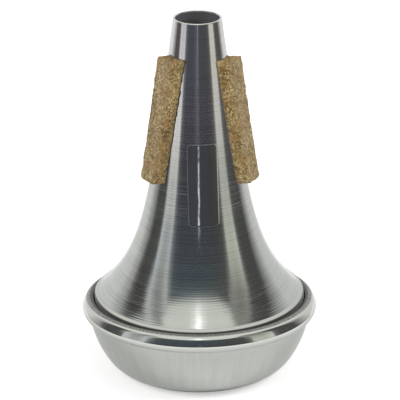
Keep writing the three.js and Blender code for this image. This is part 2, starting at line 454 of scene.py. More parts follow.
def refined(section, step):
    # splits long steps of a section
    line = []
    for first, second in zip(section, section[1:]):
        count = max(1, math.ceil(math.dist(first, second) / step))
        outwards, upwards = second[0] - first[0], second[1] - first[1]
        line += [(first[0] + outwards * i / count, first[1] + upwards * i / count) for i in range(count)]
    return line + [section[-1]]


def turnedPiece(name, section, segments, closed):
    # section runs with the solid on its left; a point on the axis becomes a pole
    verts, rings, along = [], [], []
    length, last = 0.0, section[0]
    for radius, height in section:
        length += math.dist(last, (radius, height))
        last = (radius, height)
        count = 1 if radius < 1e-6 else segments
        rings.append(range(len(verts), len(verts) + count))
        for k in range(count):
            angle = 2 * math.pi * k / segments
            verts.append((radius * math.cos(angle), radius * math.sin(angle), height))
            along.append(length / mm)
    faces = []
    pairs = list(zip(rings, rings[1:])) + ([(rings[-1], rings[0])] if closed else [])
    for low, high in pairs:
        for k in range(segments):
            after = (k + 1) % segments
            corners = [low[k % len(low)], low[after % len(low)], high[after % len(high)], high[k % len(high)]]
            faces.append(tuple(dict.fromkeys(corners)))
    return makeSkin(name, verts, faces, {"sectionLength": along})


bodyShape = {
    "wall": 1.0 * mm,
    "neckRadius": 10.45 * mm,    # outside, at the rim
    "neckTaper": 0.132,          # radius gained for each unit of length down the neck
    "flareReach": 18.5 * mm,     # length over which the flare's swell falls to 37 percent
    "ledgeWidth": 1.45 * mm,     # flatter ring at the foot of the flare
    "ledgeFall": 0.85 * mm,
    "skirtDepth": 9.0 * mm,
    "shoulderSunk": 0.15 * mm,   # below the solid's shoulder, where the spinning tool pressed it
    "sunkReach": 6 * mm,         # the sinking fades out over this height
    "bend": 1.2 * mm,            # outer radius where the ledge turns down into the skirt
    "segments": 288,
    "flareSteps": 260,
    "stepGrowth": 1.45,          # power by which the steps grow up the flare
    "bendStep": 0.15 * mm,
    "innerBendStep": 0.1 * mm,
    "rimStep": 0.12 * mm,
    "longestStep": 1.5 * mm,
    "insideDepth": 0.6 * mm,     # a face this far below the outside belongs to the inside
}
bodyLow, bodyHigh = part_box("body_shell")
rimHeight, skirtRadius, skirtFoot = bodyHigh.z, bodyHigh.x, bodyLow.z
shoulderHeight = skirtFoot + bodyShape["skirtDepth"]
ledgeSlope = math.atan2(bodyShape["ledgeFall"], bodyShape["ledgeWidth"])
ledgeOuter = skirtRadius - bodyShape["bend"] * (1 - math.sin(ledgeSlope))
footRadius = ledgeOuter - bodyShape["ledgeWidth"]
footHeight = shoulderHeight + bodyShape["ledgeFall"]


def flareRadius(height):
    # outside radius of the body above its foot
    shape, length = bodyShape, rimHeight - footHeight
    swell = footRadius - shape["neckRadius"] - shape["neckTaper"] * length
    fade = math.exp(-(height - footHeight) / shape["flareReach"])
    least = math.exp(-length / shape["flareReach"])
    cone = shape["neckRadius"] + shape["neckTaper"] * (rimHeight - height)
    return cone + swell * (fade - least) / (1 - least)


def bodySection(shape):
    sunk, wall, bend, count = shape["shoulderSunk"], shape["wall"], shape["bend"], shape["flareSteps"]
    bendCentre = (skirtRadius - bend, shoulderHeight - sunk - bend * math.cos(ledgeSlope))
    bendEnd = math.pi / 2 - ledgeSlope
    outerBend = arcPoints(bendCentre, bend, 0, bendEnd, shape["bendStep"])
    innerBend = arcPoints(bendCentre, bend - wall, bendEnd, 0, shape["innerBendStep"])
    top = rimHeight - wall / 2
    heights = [footHeight + (top - footHeight) * (i / count) ** shape["stepGrowth"] for i in range(count + 1)]
    flare = [(flareRadius(h), h - sunk * max(0, 1 - (h - footHeight) / shape["sunkReach"])) for h in heights]
    rim = arcPoints((flareRadius(top) - wall / 2, top), wall / 2, 0, math.pi, shape["rimStep"])
    outside = [(skirtRadius, skirtFoot), *outerBend, *flare]
    inside = [*reversed(offsetLine(flare, -wall)), *innerBend, (skirtRadius - wall, skirtFoot)]
    return refined(outside + rim[1:-1] + inside, shape["longestStep"])


bowlShape = {
    "wall": 0.9 * mm,
    "sideTop": (49.1 * mm, 25.25 * mm),   # where the side runs in under the bead
    "sideRoll": 41.6 * mm,
    "cornerRoll": 15.6 * mm,
    "sideTurn": 34.4,            # degrees from upright where side and corner meet
    "askew": 2.3,                # degrees that the mouth leans back from the lens, as it was pressed on
    "askewFrom": 3 * mm,         # the lean grows from here
    "askewTo": 23 * mm,          # to here
    # the bead's outline, in mm: over the lip, down the polished face and in under it
    "beadGuide": ((47.05, 32.2), (47.12, 32.62), (47.45, 32.85), (48.3, 32.74), (49.3, 32.5), (50.2, 32.08),
                  (50.85, 31.42), (51.35, 30.5), (51.78, 29.5), (52.08, 28.6), (52.08, 27.75), (51.9, 26.9),
                  (51.5, 26.05), (50.85, 25.45), (50.0, 25.2), (49.3, 25.42), (48.95, 25.5)),
    "beadSteps": 6,              # from one guide point to the next
    "segments": 288,
    "cornerStep": 0.5 * mm,
    "sideStep": 0.8 * mm,
    "longestStep": 1.2 * mm,
}


def smoothLine(guide, steps):
    # a curve through every guide point
    line = []
    for i in range(len(guide) - 1):
        p = [Vector(guide[clamp(k, 0, len(guide) - 1)]) for k in range(i - 1, i + 3)]
        for k in range(steps):
            t = k / steps
            spot = 2 * p[1] + (p[2] - p[0]) * t + (2 * p[0] - 5 * p[1] + 4 * p[2] - p[3]) * t * t
            line.append(tuple((spot + (3 * p[1] - p[0] - 3 * p[2] + p[3]) * t ** 3) / 2 * mm))
    return line


def bowlSection(shape):
    wall, sideRoll, cornerRoll = shape["wall"], shape["sideRoll"], shape["cornerRoll"]
    turn = math.radians(shape["sideTurn"])
    topRadius, sideTop = shape["sideTop"]
    cornerHeight = cornerRoll * (1 - math.sin(turn))
    startSlope = math.asin(math.sin(turn) - (sideTop - cornerHeight) / sideRoll)
    sideCentre = (topRadius - sideRoll * math.cos(startSlope), sideTop + sideRoll * math.sin(startSlope))
    cornerCentre = (sideCentre[0] + (sideRoll - cornerRoll) * math.cos(turn), cornerRoll)

    def cornerAndSide(inwards):
        corner = arcPoints(cornerCentre, cornerRoll - inwards, -math.pi / 2, -turn, shape["cornerStep"])
        side = arcPoints(sideCentre, sideRoll - inwards, -turn, -startSlope, shape["sideStep"])
        return corner + side[1:]

    bead = smoothLine(shape["beadGuide"], shape["beadSteps"])
    section = [(0, 0), *cornerAndSide(0), *reversed(bead), *reversed(cornerAndSide(wall)), (0, wall)]
    return refined(section, shape["longestStep"])


def setAskew(piece, shape, azimuth):
    # the front of the mouth sits a little higher than its back
    towards = Vector((math.sin(math.radians(azimuth)), -math.cos(math.radians(azimuth)), 0))
    for vert in piece.data.vertices:
        share = clamp((vert.co.z - shape["askewFrom"]) / (shape["askewTo"] - shape["askewFrom"]))
        share = share * share * (3 - 2 * share)
        vert.co.z += math.tan(math.radians(shape["askew"])) * vert.co.dot(towards) * share


spunBody = turnedPiece("spunBody", bodySection(bodyShape), bodyShape["segments"], True)
rolledBowl = turnedPiece("rolledBowl", bowlSection(bowlShape), bowlShape["segments"], False)
setAskew(rolledBowl, bowlShape, cameraPlace["azimuth"])
print("shells turned")


# turning lines, shared by both shells and the inside of the body
lineLook = {
    # noise along the section: its length in pitches, its drift round the piece, its detail
    "unsteady": (3.0, 6, 1),
    "unsteadyReach": 7.0,     # how far it shifts the tool's even feed, in radians
    "broad": (4.5, 9, 0),
    "broadHeight": 2.0,
    "fine": (1.0, 22, 1),
    "feedHeight": 0.25,
    "shade": (0.8, 12, 0),
    "feedShade": 0.20,
    "sway": (0.55, 70, 1),
    "patchScale": 55,
    "patchSwing": 3.0,
    "dullTo": 0.2,            # shade up to which a line is dull, and from which it has the full colour
    "brightFrom": 0.5,
}


def makeTurningLines(look):
    labels = {"Along": 0.0, "Pitch": 0.5, "Depth": 1.0, "Patchiness": 0.5}
    tree, inputs, outputs = newGroup("turningLines", labels, ("Height", "Shade", "Sway"))
    place = onPiece(tree)
    x, y, z = split(tree, place)

    def lines(label):
        # noise that changes fast along the section and slowly round the piece
        pitches, drift, detail = look[label]
        along = mathNode(tree, "DIVIDE", inputs["Along"], times(tree, inputs["Pitch"], pitches))
        spot = joined(tree, along, times(tree, x, drift), times(tree, y, drift))
        return minus(tree, noiseTexture(tree, spot, 1, detail)["Fac"], 0.5)

    patch = minus(tree, noiseTexture(tree, place, look["patchScale"])["Fac"], 0.5)
    strength = timesPlus(tree, times(tree, patch, look["patchSwing"]), inputs["Patchiness"], 1.0)
    evenFeed = times(tree, mathNode(tree, "DIVIDE", inputs["Along"], inputs["Pitch"]), 2 * math.pi)
    wave = mathNode(tree, "SINE", timesPlus(tree, lines("unsteady"), look["unsteadyReach"], evenFeed))
    height = timesPlus(tree, lines("broad"), look["broadHeight"], lines("fine"))
    height = timesPlus(tree, wave, look["feedHeight"], height)
    shade = timesPlus(tree, wave, look["feedShade"], lines("shade"))
    feed(tree, outputs["Height"], times(tree, times(tree, height, strength), inputs["Depth"]))
    feed(tree, outputs["Shade"], timesPlus(tree, shade, strength, 0.5))
    feed(tree, outputs["Sway"], lines("sway"))
    return tree


# the seam where the skirt is pressed into the bowl: black painted shade in its depth, grey and ticked on the
# lip
seamLook = {
    # how softly each limit of the seam fades
    "soft": {
        "From": 0.2 * mm, "Dark To": 0.15 * mm, "Grey To": 0.15 * mm, "Above": 0.3 * mm, "Below": 0.3 * mm,
    },
    "leanBack": 0.04,          # the mouth sits lower at the back
    "narrowFront": -0.022,     # and the seam's painted shade and grey are a little narrower at the front
    "ticksRound": 95,          # noise cells in a radian
    "ticksOutwards": 500,      # and in a metre
    "tickBand": (0.38, 0.60),
    "tickDepth": 0.45,
}


def makeSeamShadeAndGrime(look):
    labels = dict.fromkeys(look["soft"], 0.0)
    tree, inputs, outputs = newGroup("seamShadeAndGrime", labels, ("Dark", "Grey", "Radius"))
    x, y, z = split(tree, onPiece(tree))
    radius = mathNode(tree, "SQRT", timesPlus(tree, x, x, times(tree, y, y)))

    def past(label, measure):
        soft = look["soft"][label]
        return rise(tree, minus(tree, measure, inputs[label]), -soft, soft)

    def shortOf(label, measure):
        return minus(tree, 1.0, past(label, measure))

    leaned = timesPlus(tree, y, look["leanBack"], z)
    uneven = timesPlus(tree, y, look["narrowFront"], radius)
    inSeam = times(tree, past("From", radius), past("Above", z))
    inSeam = times(tree, inSeam, shortOf("Below", leaned))
    around = times(tree, mathNode(tree, "ARCTAN2", x, y), look["ticksRound"])
    spot = joined(tree, around, times(tree, radius, look["ticksOutwards"]))
    ticks = rise(tree, noiseTexture(tree, spot, 1)["Fac"], *look["tickBand"])
    ticked = timesPlus(tree, ticks, look["tickDepth"], 1 - look["tickDepth"])
    # Dark is painted shade in the seam's depth; Grey is the lip's own ticked grey
    for label, amount in (("Dark", 1.0), ("Grey", ticked)):
        share = times(tree, shortOf(label + " To", uneven), inSeam)
        feed(tree, outputs[label], times(tree, share, amount))
    feed(tree, outputs["Radius"], radius)
    return tree


# marks of handling: faint upright streaks and a few short scratches
rubLook = {
    # noise cells in a radian and in a millimetre of section, and the noise at which a mark starts and is full
    "Streak": (26, 0.05, 0.30, 0.70),
    "Scratch": (110, 0.16, 0.73, 0.80),
}


def makeRubMarks(look):
    tree, inputs, outputs = newGroup("rubMarks", {"Along": 0.0}, tuple(look))
    x, y, z = split(tree, onPiece(tree))
    around = mathNode(tree, "ARCTAN2", x, y)
    for label, (perTurn, perLength, start, full) in look.items():
        spot = joined(tree, times(tree, around, perTurn), times(tree, inputs["Along"], perLength))
        feed(tree, outputs[label], rise(tree, noiseTexture(tree, spot, 1)["Fac"], start, full))
    return tree


turningLines = makeTurningLines(lineLook)
seamShadeAndGrime = makeSeamShadeAndGrime(seamLook)
rubMarks = makeRubMarks(rubLook)
bodyFinish = {                        # heights and radii are in metres
    "color": (0.650, 0.670, 0.635),
    "dull": (0.575, 0.590, 0.565),    # in the deepest lines
    "roughness": 0.13,
    "roughBand": 0.06,                # how much it changes from line to line
    "anisotropy": 0.6,
    "grainTurn": 0.25,                # of the stretched shine, in turns
    "pitch": 1.10,                    # of the lines, in mm
    "lineDepth": 0.012 * mm,
    "patchiness": 0.6,
    "sway": 0.05,                     # how far a line turns the shine to one side
    "footSway": 0.75,                 # share of the sway that only the lower flare has
    "scatter": 0.20,                  # how much light the deepest lines scatter
    "scatterShares": (0.05, 0.15, 0.55),   # everywhere, and on top in the lower flare and the marked band
    "deepShade": (0.55, 0.85),        # shade from which a line counts as deep, and fully so
    "calmBand": (0.050, 0.076),       # heights between which the flare was smoothed again
    "calmFade": (0.004, 0.004),
    "calmDepth": 0.40,                # share of the lines that is left there
    "neckFrom": (0.088, 0.104),
    "neckDepth": 0.30,                # how deep the lines are on the neck
    "markedBand": (0.078, 0.090),     # heights between which the tool left deep lines
    "markedFade": (0.006, 0.008),
    "markedDepth": 3.0,               # how much deeper they are there
    "footFrom": (0.068, 0.050),
    "footDepth": 1.4,                 # and in the lower flare
    "polishAndLightBy": "height",           # painted light: the neck's colour is raised above the flare's
    "polishAndLight": (0.090, 0.125),       # from the first value on, fully at the second
    "paintedLightGain": (1.37, 1.29, 1.33),
    "polishedRoughness": 1.0,         # share of the roughness that is left there
    "facingDown": (-0.35, 0.05),      # slope of a face that gets no such gain, and of one that gets it all
    "shadeUnderBead": (1.0, 1.1, 1.0),       # painted shade: darker from this height on, fully at this one, share of the colour left
    "streaks": 0.03,                  # how much the upright streaks grey the metal
    "scratches": 0.0,
    # the seam lies from this radius outwards, its painted shade and grey up to these, and between these
    # heights
    "seam": {"From": 0.0461, "Dark To": 0.06, "Grey To": 0.06, "Above": 0.03, "Below": 0.0348},
    "seamGrey": (0.26, 0.255, 0.24),
    "seamShadeColor": (0.036, 0.034, 0.032),
    "seamRoughness": 0.3,
}
bowlFinish = {
    **bodyFinish, "roughness": 0.16, "roughBand": 0.03, "dull": (0.625, 0.645, 0.61), "pitch": 0.6,
    "lineDepth": 0.0025 * mm, "markedDepth": 1, "footDepth": 1, "neckDepth": 1, "sway": 0.01, "scatter": 0.05,
    # the bead is polished; the colour gain on it is a painted highlight
    "polishAndLightBy": "radius", "polishAndLight": (0.0492, 0.0500), "paintedLightGain": (1.12, 1.115, 1.11),
    "polishedRoughness": 0.35, "shadeUnderBead": (0.012, 0.024, 0.88), "streaks": 0.16, "scratches": 0.35,
    "seam": {"From": 0.0400, "Dark To": 0.0487, "Grey To": 0.0503, "Above": 0.0285, "Below": 1.0},
}
insideFinishAndShade = {
    # dark: painted shade in the hollow, over the raw metal's own grey
    "color": (0.21, 0.205, 0.215),
    "dull": (0.13, 0.127, 0.13),
    "metallic": 0.35,
    "roughness": 0.55,
    "roughBand": 0.1,
    "pitch": 0.9,
    "lineDepth": 0.03 * mm,
    "patchiness": 0.3,
}


def placeLines(tree, finish, along, depth):
    values = {"Along": along, "Pitch": finish["pitch"], "Patchiness": finish["patchiness"], "Depth": depth}
    lines = placeGroup(tree, turningLines, values)
    bump = newNode(tree, "ShaderNodeBump", {"Height": lines["Height"], "Distance": finish["lineDepth"]})
    stops = [(lineLook["dullTo"], finish["dull"]), (lineLook["brightFrom"], finish["color"])]
    tone = ramp(tree, lines["Shade"], stops)
    smoothest = finish["roughness"] - finish["roughBand"] / 2
    rough = timesPlus(tree, lines["Shade"], finish["roughBand"], smoothest)
    return lines, bump, tone, rough


def makeTurnedMetal(name, finish):
    material, tree = newMaterial(name)
    tangent = newNode(tree, "ShaderNodeTangent", direction_type="RADIAL", axis="Z").outputs[0]
    faceNormal = newNode(tree, "ShaderNodeNewGeometry").outputs["Normal"]
    along = mark(tree, "sectionLength")
    height = split(tree, onPiece(tree))[2]
    # the lines are shallow on the neck, deep in the marked band, and eased where the flare was smoothed
    marked = band(tree, height, finish["markedBand"], finish["markedFade"])
    foot = rise(tree, height, *finish["footFrom"], True)
    depth = gainBy(tree, rise(tree, height, *finish["neckFrom"], True), finish["neckDepth"])
    depth = gainBy(tree, marked, finish["markedDepth"], depth)
    depth = gainBy(tree, foot, finish["footDepth"], depth)
    ease = gainBy(tree, band(tree, height, finish["calmBand"], finish["calmFade"]), finish["calmDepth"])
    lines, bump, tone, rough = placeLines(tree, finish, along, times(tree, depth, ease))
    # each line throws the shine a little to one side, most in the lower flare
    sway = times(tree, lines["Sway"], timesPlus(tree, foot, finish["footSway"], 1 - finish["footSway"]))
    sway = times(tree, times(tree, sway, ease), finish["sway"])
    swayed = vectorNode(tree, "MULTIPLY_ADD", tangent, sway, faceNormal)
    feed(tree, bump.inputs["Normal"], vectorNode(tree, "NORMALIZE", swayed))
    seam = placeGroup(tree, seamShadeAndGrime, finish["seam"])
    measure = {"height": height, "radius": seam["Radius"]}[finish["polishAndLightBy"]]
    polishAndLight = rise(tree, measure, *finish["polishAndLight"], True)
    # painted shade: on the bowl, darker upwards into the band under the bead
    start, full, left = finish["shadeUnderBead"]
    tone = mixColor(tree, rise(tree, height, start, full, True), tone, (left, left, left), "MULTIPLY")
    rubs = placeGroup(tree, rubMarks, {"Along": along})
    worn = times(tree, rubs["Streak"], finish["streaks"])
    worn = timesPlus(tree, rubs["Scratch"], finish["scratches"], worn)
    worn = times(tree, worn, minus(tree, 1.0, polishAndLight))
    tone = mixColor(tree, worn, tone, finish["seamGrey"])
    # painted highlight: the colour gain, left off faces that turn down, so their undersides stay painted
    # darker; the gain also undoes the painted shade there
    facing = split(tree, faceNormal)[2]
    bright = times(tree, polishAndLight, rise(tree, facing, *finish["facingDown"]))
    tone = mixColor(tree, bright, tone, np.divide(finish["paintedLightGain"], left), "MULTIPLY")
    # the lip's own grey, then the seam's painted shade
    tone = mixColor(tree, seam["Grey"], tone, finish["seamGrey"])
    tone = mixColor(tree, seam["Dark"], tone, finish["seamShadeColor"])
    everywhere, inFoot, inMarked = finish["scatterShares"]
    scattered = timesPlus(tree, foot, inFoot, timesPlus(tree, marked, inMarked, everywhere))
    scattered = times(tree, scattered, ease)
    deepest = times(tree, rise(tree, lines["Shade"], *finish["deepShade"]), finish["scatter"])
    # the seam's painted shade is matt as well
    matt = mathNode(tree, "MAXIMUM", times(tree, deepest, scattered), seam["Dark"])
    rough = times(tree, rough, gainBy(tree, polishAndLight, finish["polishedRoughness"]))
    rough = timesPlus(tree, seam["Grey"], finish["seamRoughness"], rough)
    setOutput(tree, newNode(tree, "ShaderNodeBsdfPrincipled", {
        "Base Color": tone, "Metallic": minus(tree, 1.0, matt), "Roughness": rough, "Normal": bump.outputs[0],
        "Anisotropic": finish["anisotropy"], "Anisotropic Rotation": finish["grainTurn"], "Tangent": tangent,
    }))
    return material


def makeInsideMetal(finish):
    # the inside of the body stays as it came off the mandrel, rough and partly matt; its dark colour is
    # painted shade in the hollow
    material, tree = newMaterial("rawShadedInside")
    lines, bump, tone, rough = placeLines(tree, finish, mark(tree, "sectionLength"), 1.0)
    setOutput(tree, newNode(tree, "ShaderNodeBsdfPrincipled", {
        "Base Color": tone, "Metallic": finish["metallic"], "Roughness": rough, "Normal": bump.outputs[0],
    }))
    return material


spunBody.data.materials.append(makeTurnedMetal("spunAluminium", bodyFinish))
spunBody.data.materials.append(makeInsideMetal(insideFinishAndShade))
for face in spunBody.data.polygons:
    x, y, z = face.center
    inside = flareRadius(z) - math.hypot(x, y) > bodyShape["insideDepth"]
    face.material_index = int(inside and z < rimHeight - bodyShape["wall"] / 2)
rolledBowl.data.materials.append(makeTurnedMetal("polishedAluminium", bowlFinish))
print("shells finished")


# cork strips
corkShape = {
    "belowRim": 16.5 * mm,        # rim of the neck down to the strip's upper end
    "length": 55.0 * mm,
    "width": 9.5 * mm,
    "thickness": 6.8 * mm,        # metal to the outer face
    "seat": 0.35 * mm,            # metal to the inner face
    "step": 0.32 * mm,
    "wornEdge": 1.0 * mm,         # radius of the rounded edges
    "wearReach": 1.6 * mm,        # how far in from an edge the wear shows
    "outerDepth": 1.5 * mm,       # how deep in from the outer face its painted light reaches
    "granule": 0.85 * mm,
    "granuleHeight": 0.14 * mm,
    "crevice": 0.13 * mm,
    "creviceWidth": 0.22,         # in granules
    "shuffle": (9.7, 3.1),        # keeps the heights of neighbouring granules apart
    "ragged": 0.24 * mm,          # how much the edges wander
    "ragWaves": (3.2 * mm, 1.4 * mm),
    "fineRag": 0.7,               # strength of the shorter wave
    "seed": 5.0,
    "nextSeed": 11,
}
corkPlaces = {                    # degrees round from the label, degrees askew, share of its length raised
    "Right": {"around": 56.7, "askew": 1.9, "raised": 0.0},
    "Left": {"around": -59.4, "askew": -2.8, "raised": 0.018},
    "Rear": {"around": 180.0, "askew": 0.0, "raised": 0.0},
}


def stripMiddle(place):
    return rimHeight - corkShape["belowRim"] - corkShape["length"] * (0.5 - place["raised"])


def askewSpot(place, height, outwards, across):
    # a spot on a strip that lies towards +X, turned a little about the line through its middle
    near = 0.1 * mm
    slope = (flareRadius(height + near) - flareRadius(height - near)) / (2 * near)
    outward = Vector((1, -slope)).normalized() * outwards
    middle, turn = stripMiddle(place), math.radians(place["askew"])
    z = height + outward.y - middle
    sideways = across * math.cos(turn) - z * math.sin(turn)
    upwards = across * math.sin(turn) + z * math.cos(turn)
    return Vector((flareRadius(height) + outward.x, sideways, upwards + middle))


def stripSpot(place, height, outwards, across, seat, thickness):
    # the seat of the strip follows the round metal, its outer face stays flat
    spot, low = askewSpot(place, height, outwards, across), askewSpot(place, height, seat, across)
    onMetal = math.sqrt(max((flareRadius(low.z) + seat) ** 2 - low.y ** 2, 0))
    spot.x += (onMetal - low.x) * clamp((thickness - outwards) / (thickness - seat))
    return spot


def turnTo(place, spots):
    turn = Matrix.Rotation(math.radians(place["around"] - 90), 3, "Z")
    return [turn @ spot for spot in spots]


def granulePush(spot, shape, seed):
    # granules stand out by different amounts, with a crevice between them
    spread, shift = shape["shuffle"]
    near, centres = noise.voronoi(Vector(spot) / shape["granule"] + Vector((seed, 0, 0)))
    lift = noise.cell(centres[0] * spread + Vector((seed, shift, 0)))
    gap = min((near[1] - near[0]) / shape["creviceWidth"], 1)
    return lift * shape["granuleHeight"] / 2 - (1 - gap) * shape["crevice"]


def makeCork(side, place, shape, seed):
    seat, thickness, worn = shape["seat"], shape["thickness"], shape["wornEdge"]
    sizes = (thickness - seat, shape["width"], shape["length"])
    counts = [max(2, round(size / shape["step"])) for size in sizes]
    longWave, shortWave = shape["ragWaves"]
    ids, spots, wear, outer, faces = {}, [], [], [], []

    def edgeShare(spot):
        edges = sorted(sizes[k] / 2 - abs(spot[k]) for k in range(3))
        return clamp(1 - edges[1] / shape["wearReach"])

    def roughened(spot):
        # rounded at the edges, grained and ragged
        core = Vector([clamp(spot[k], -sizes[k] / 2 + worn, sizes[k] / 2 - worn) for k in range(3)])
        core.x = min(spot.x, sizes[0] / 2 - worn)
        wave = noise.noise(spot / longWave + Vector((seed, 7, 1)))
        wave += shape["fineRag"] * noise.noise(spot / shortWave)
        push = granulePush(spot, shape, seed) + shape["ragged"] * edgeShare(spot) * wave
        return core + (spot - core).normalized() * (worn + push)

    def corner(key):
        if key not in ids:
            spot = Vector([sizes[k] * (key[k] / counts[k] - 0.5) for k in range(3)])
            if key[0] > 0:
                spot = roughened(spot)
            wear.append(edgeShare(spot))
            outer.append(clamp(1 - (sizes[0] / 2 - spot.x) / shape["outerDepth"]))
            ids[key] = len(spots)
            spots.append(spot)
        return ids[key]

    for axis in range(3):
        first, second = [k for k in range(3) if k != axis]
        for end in (0, counts[axis]):
            for i in range(counts[first]):
                for j in range(counts[second]):
                    quad = []
                    for di, dj in ((0, 0), (1, 0), (1, 1), (0, 1)):
                        key = [0, 0, 0]
                        key[axis], key[first], key[second] = end, i + di, j + dj
                        quad.append(corner(tuple(key)))
                    faces.append(quad)
    middle, half = stripMiddle(place), sizes[0] / 2
    placed = [stripSpot(place, middle + p.z, seat + half + p.x, p.y, seat, thickness) for p in spots]
    return makeSkin("cork" + side, turnTo(place, placed), faces, {"edgeWear": wear, "outerFace": outer})


corkLook = {
    "granuleScale": 1350,
    "smallTimes": 2.3,                    # scale of the specks within the granules, against the granules
    "warpScale": 900,                     # the granules are a little bent
    "warp": 0.7 * mm,
    "colors": ((0.0, (0.140, 0.083, 0.028)), (0.25, (0.270, 0.173, 0.060)), (0.5, (0.380, 0.265, 0.106)),
               (0.75, (0.495, 0.375, 0.175)), (1.0, (0.635, 0.525, 0.295))),
    # what moves the tone along these colours: strength and level
    "granuleTone": (0.84, -0.16),
    "smallTone": 0.30,
    "grainTone": (0.9, -0.40),
    "grain": (210, 3, (1, 1, 0.35)),      # scale, detail and stretch
    "orange": (0.43, 0.235, 0.085),
    "orangeScale": 160,
    "orangeStops": ((0.50, 0.0), (0.66, 1.0)),
    "orangeShare": 0.55,
    "litOuterFace": (0.37, 0.335, 0.245),      # painted light: the outer face is lighter and greyer
    "litOuterShare": 0.22,
    "edge": (0.23, 0.205, 0.13),
    "edgeScale": 700,
    "edgeShare": 0.45,
    "pinhole": (0.060, 0.036, 0.018),
    "holesFrom": 0.72,                    # one granule in four has a hole
    "holeStops": ((0.16, 1.0), (0.38, 0.0)),
    "creviceStops": ((0.0, 0.75), (0.09, 0.0)),
    "creviceScale": 500,
    "roughness": (0.2, 0.72),             # change from granule to granule, and the least
    "specular": 0.45,
    "relief": 0.25 * mm,
    "granuleRelief": 0.5,
    "smallRelief": 0.4,
}


def makeCorkMaterial(look):
    material, tree = newMaterial("pressedCork")
    place = onPiece(tree)
    warped = noiseTexture(tree, place, look["warpScale"])["Color"]
    bent = vectorNode(tree, "MULTIPLY_ADD", warped, (look["warp"],) * 3, place)

    def cells(scale, feature="F1"):
        values = {"Vector": bent, "Scale": scale}
        return newNode(tree, "ShaderNodeTexVoronoi", values, feature=feature).outputs

    def tones(cellOutputs):
        return newNode(tree, "ShaderNodeSeparateColor", (cellOutputs["Color"],)).outputs

    def blotches(scale, detail=2, stretch=(1, 1, 1)):
        spread = newNode(tree, "ShaderNodeMapping", {"Vector": place, "Scale": stretch}).outputs[0]
        return noiseTexture(tree, spread, scale, detail)["Fac"]

    granules = cells(look["granuleScale"])
    coarse, small = tones(granules), tones(cells(look["granuleScale"] * look["smallTimes"]))
    tone = timesPlus(tree, coarse[0], *look["granuleTone"])
    tone = timesPlus(tree, small[0], look["smallTone"], tone)
    tone = mathNode(tree, "ADD", tone, timesPlus(tree, blotches(*look["grain"]), *look["grainTone"]))
    color = ramp(tree, tone, look["colors"])
    patch = ramp(tree, blotches(look["orangeScale"]), look["orangeStops"])
    color = mixColor(tree, times(tree, patch, look["orangeShare"]), color, look["orange"])
    # painted light: the outer face is mixed towards a lighter, greyer colour
    color = mixColor(tree, times(tree, mark(tree, "outerFace"), look["litOuterShare"]), color, look["litOuterFace"])
    fringe = times(tree, blotches(look["edgeScale"]), look["edgeShare"])
    color = mixColor(tree, times(tree, mark(tree, "edgeWear"), fringe), color, look["edge"])
    # pinholes, and crevices between the granules
    holes = mathNode(tree, "GREATER_THAN", coarse[1], look["holesFrom"])
    holes = times(tree, holes, ramp(tree, granules["Distance"], look["holeStops"]))
    toEdge = cells(look["granuleScale"], "DISTANCE_TO_EDGE")["Distance"]
    crevices = times(tree, ramp(tree, toEdge, look["creviceStops"]), blotches(look["creviceScale"]))
    dark = mathNode(tree, "MAXIMUM", holes, crevices)
    color = mixColor(tree, dark, color, look["pinhole"])
    level = timesPlus(tree, small[1], look["smallRelief"], times(tree, coarse[0], look["granuleRelief"]))
    bump = newNode(tree, "ShaderNodeBump", {"Height": minus(tree, level, dark), "Distance": look["relief"]})
    setOutput(tree, newNode(tree, "ShaderNodeBsdfPrincipled", {
        "Base Color": color, "Roughness": timesPlus(tree, coarse[2], *look["roughness"]),
        "Specular IOR Level": look["specular"], "Normal": bump.outputs[0],
    }))
    return material


# dried cement: a thin sheet round each strip; round the left strip it is coloured dark, painted shade that
# shows as a ragged dark line
cementShape = {
    # how far it spreads past the strip's edge, and how much that wanders
    "edges": {
        "Right": (-0.05 * mm, 0.15 * mm), "Left": (0.20 * mm, 0.40 * mm), "Rear": (0.05 * mm, 0.30 * mm),
    },
    "under": 0.32 * mm,         # top of the sheet under the cork, off the metal
    "swell": 0.55 * mm,         # and where it was squeezed out
    "swellWithin": 0.25 * mm,   # it swells over this distance past the cork
    "rimFrom": 0.95,            # share of the half width from which it thins
    "rimShare": 0.75,           # to this share of its thickness
    "rimLift": 0.06 * mm,       # and to this at the very rim
    "bottom": 0.02 * mm,        # underside, off the metal
    "step": 0.45 * mm,
    "columns": (-1, -0.96, -0.90, -0.82, -0.6, -0.3, 0, 0.3, 0.6, 0.82, 0.90, 0.96, 1),
    "waves": (2.6 * mm, 0.9 * mm),
    "fineWave": 0.6,            # strength of the shorter wave
    "sideShifts": (7.3, 3.9),   # keep the waves of sides and ends apart
    "endShare": 0.7,            # how far it spreads at the ends, against the sides
    "seed": 2.0,
    "nextSeed": 5,
}


